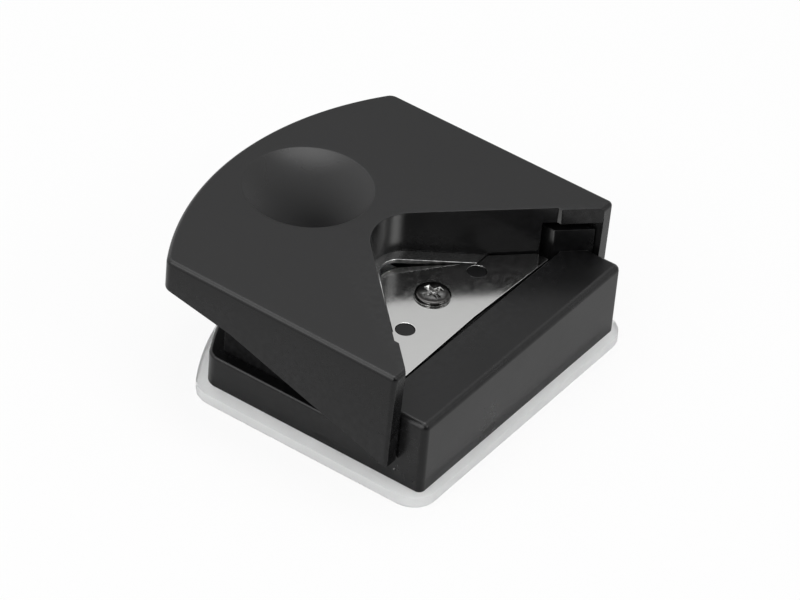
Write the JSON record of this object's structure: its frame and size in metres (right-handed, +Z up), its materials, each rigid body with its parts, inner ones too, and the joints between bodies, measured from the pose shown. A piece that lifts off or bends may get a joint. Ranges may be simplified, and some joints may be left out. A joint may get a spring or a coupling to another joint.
{
  "type": "corner punch",
  "caption": "Small hand-pressed corner punch: a black thumb lever with a vee notch drives a steel blade past a die plate to round paper corners, with a pale waste tray below.",
  "frame": {"origin": "middle of the bounding box at the level of the table, on the tray's flat underside", "axes": "+X to the right seen from the open front, +Y from the front bar to the arched back, +Z up"},
  "size_m": [0.0646, 0.0638, 0.0272],
  "materials": {
    "body_plastic": "fine satin moulded black plastic",
    "lever_plastic": "fine satin moulded black plastic",
    "tray_plastic": "milky translucent plastic",
    "die_steel": "bead-blasted hardened steel plate",
    "blade_steel": "ground hardened steel with a bright cutting edge",
    "screw_steel": "bright nickel plating",
    "pin_steel": "polished dowel steel",
    "spring_steel": "drawn spring wire"
  },
  "bodies": {
    "base": {"base_body": "body_plastic", "die_plate": "die_steel", "plate_screw": "screw_steel", "hinge_pin_left": "pin_steel", "hinge_pin_right": "pin_steel", "return_spring": "spring_steel"},
    "lever": {"press_lever": "lever_plastic", "punch_blade": "blade_steel", "blade_screw_left": "screw_steel", "blade_screw_right": "screw_steel", "blade_screw_rear": "screw_steel"},
    "tray": {"waste_tray": "tray_plastic"}
  },
  "joints": [
    {"name": "lever_hinge", "type": "hinge", "parent": "base", "child": "lever", "pos_m": [0, -0.01934, 0.0174], "axis": [-1, 0, 0], "range_deg": [0, 9.4], "stiffness_Nm_per_rad": 0.25, "springref_deg": -17.19, "deforming": ["return_spring"]},
    {"name": "tray_pull", "type": "slide", "parent": "base", "child": "tray", "axis": [0, 0, -1], "range_m": [0, 0.02]}
  ]
}
